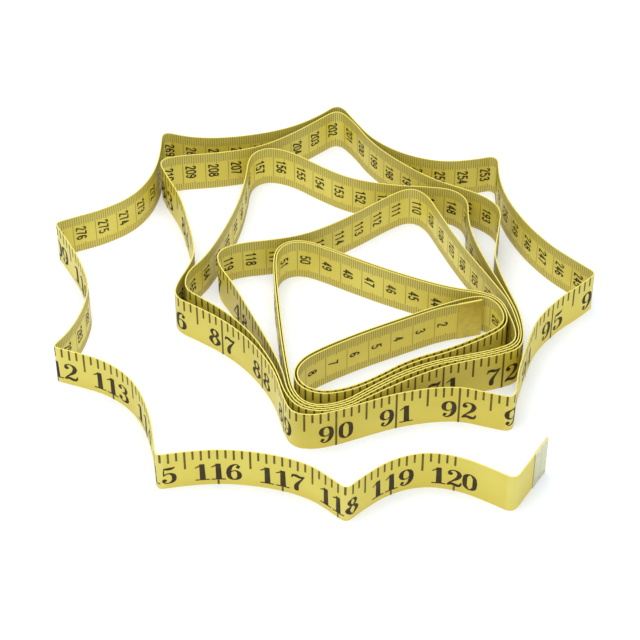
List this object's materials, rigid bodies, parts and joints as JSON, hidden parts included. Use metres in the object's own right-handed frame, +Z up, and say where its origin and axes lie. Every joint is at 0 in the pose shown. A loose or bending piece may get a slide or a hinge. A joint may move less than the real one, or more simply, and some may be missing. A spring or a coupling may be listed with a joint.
{
  "type": "tape measure",
  "caption": "Soft measuring tape, a printed yellow ribbon with folded metal end tips, lying on its edge in a loose folded heap.",
  "frame": {"origin": "middle of the heap seen from above, on the surface that it stands on", "axes": "+Z up, out of the ribbon's upper edge; +Y away from the side where the loose end lies; +X towards the loose end"},
  "size_m": [0.2248, 0.2211, 0.02],
  "materials": {
    "ribbon": "satin printed vinyl",
    "inner_tip": "worn lacquered brass",
    "outer_tip": "tinned steel, satin"
  },
  "bodies": {
    "coil": {"coil_run_01": "ribbon", "coil_run_02": "ribbon", "coil_run_03": "ribbon", "coil_run_04": "ribbon", "coil_run_05": "ribbon", "coil_run_06": "ribbon", "coil_run_07": "ribbon", "coil_run_08": "ribbon", "coil_run_09": "ribbon", "coil_run_10": "ribbon", "coil_run_11": "ribbon", "coil_run_12": "ribbon", "coil_run_13": "ribbon", "coil_run_14": "ribbon", "coil_run_15": "ribbon", "coil_run_16": "ribbon", "coil_run_17": "ribbon", "coil_run_18": "ribbon", "coil_run_19": "ribbon", "coil_run_20": "ribbon", "coil_run_21": "ribbon", "coil_run_22": "ribbon", "coil_run_23": "ribbon", "coil_run_24": "ribbon", "coil_run_25": "ribbon", "coil_run_26": "ribbon", "coil_run_27": "ribbon", "inner_tip": "inner_tip"},
    "loose_1": {"loose_run_1": "ribbon"},
    "loose_2": {"loose_run_2": "ribbon"},
    "loose_3": {"loose_run_3": "ribbon"},
    "loose_4": {"loose_run_4": "ribbon"},
    "loose_5": {"loose_run_5": "ribbon"},
    "loose_6": {"loose_run_6": "ribbon"},
    "loose_7": {"loose_run_7": "ribbon"},
    "loose_8": {"loose_run_8": "ribbon", "outer_tip": "outer_tip"}
  },
  "joints": [
    {"name": "crease_1", "type": "hinge", "parent": "coil", "child": "loose_1", "pos_m": [0.07514, 0.0763, 0.01], "axis": [0, 0, 1], "range_deg": [-20, 0]},
    {"name": "crease_2", "type": "hinge", "parent": "loose_1", "child": "loose_2", "pos_m": [0.0074, 0.1104, 0.01], "axis": [0, 0, 1], "range_deg": [-100, 0]},
    {"name": "crease_3", "type": "hinge", "parent": "loose_2", "child": "loose_3", "pos_m": [-0.06931, 0.09228, 0.01], "axis": [0, 0, 1], "range_deg": [-80, 0]},
    {"name": "crease_4", "type": "hinge", "parent": "loose_3", "child": "loose_4", "pos_m": [-0.11214, 0.03477, 0.01], "axis": [0, 0, 1], "range_deg": [-80, 2]},
    {"name": "crease_5", "type": "hinge", "parent": "loose_4", "child": "loose_5", "pos_m": [-0.10722, -0.03695, 0.01], "axis": [0, 0, 1], "range_deg": [-80, 2]},
    {"name": "crease_6", "type": "hinge", "parent": "loose_5", "child": "loose_6", "pos_m": [-0.06356, -0.09411, 0.01], "axis": [0, 0, 1], "range_deg": [-80, 3]},
    {"name": "crease_7", "type": "hinge", "parent": "loose_6", "child": "loose_7", "pos_m": [0.00891, -0.1104, 0.01], "axis": [0, 0, 1], "range_deg": [-80, 4]},
    {"name": "crease_8", "type": "hinge", "parent": "loose_7", "child": "loose_8", "pos_m": [0.07281, -0.10534, 0.01], "axis": [0, 0, 1], "range_deg": [-60, 20]}
  ]
}
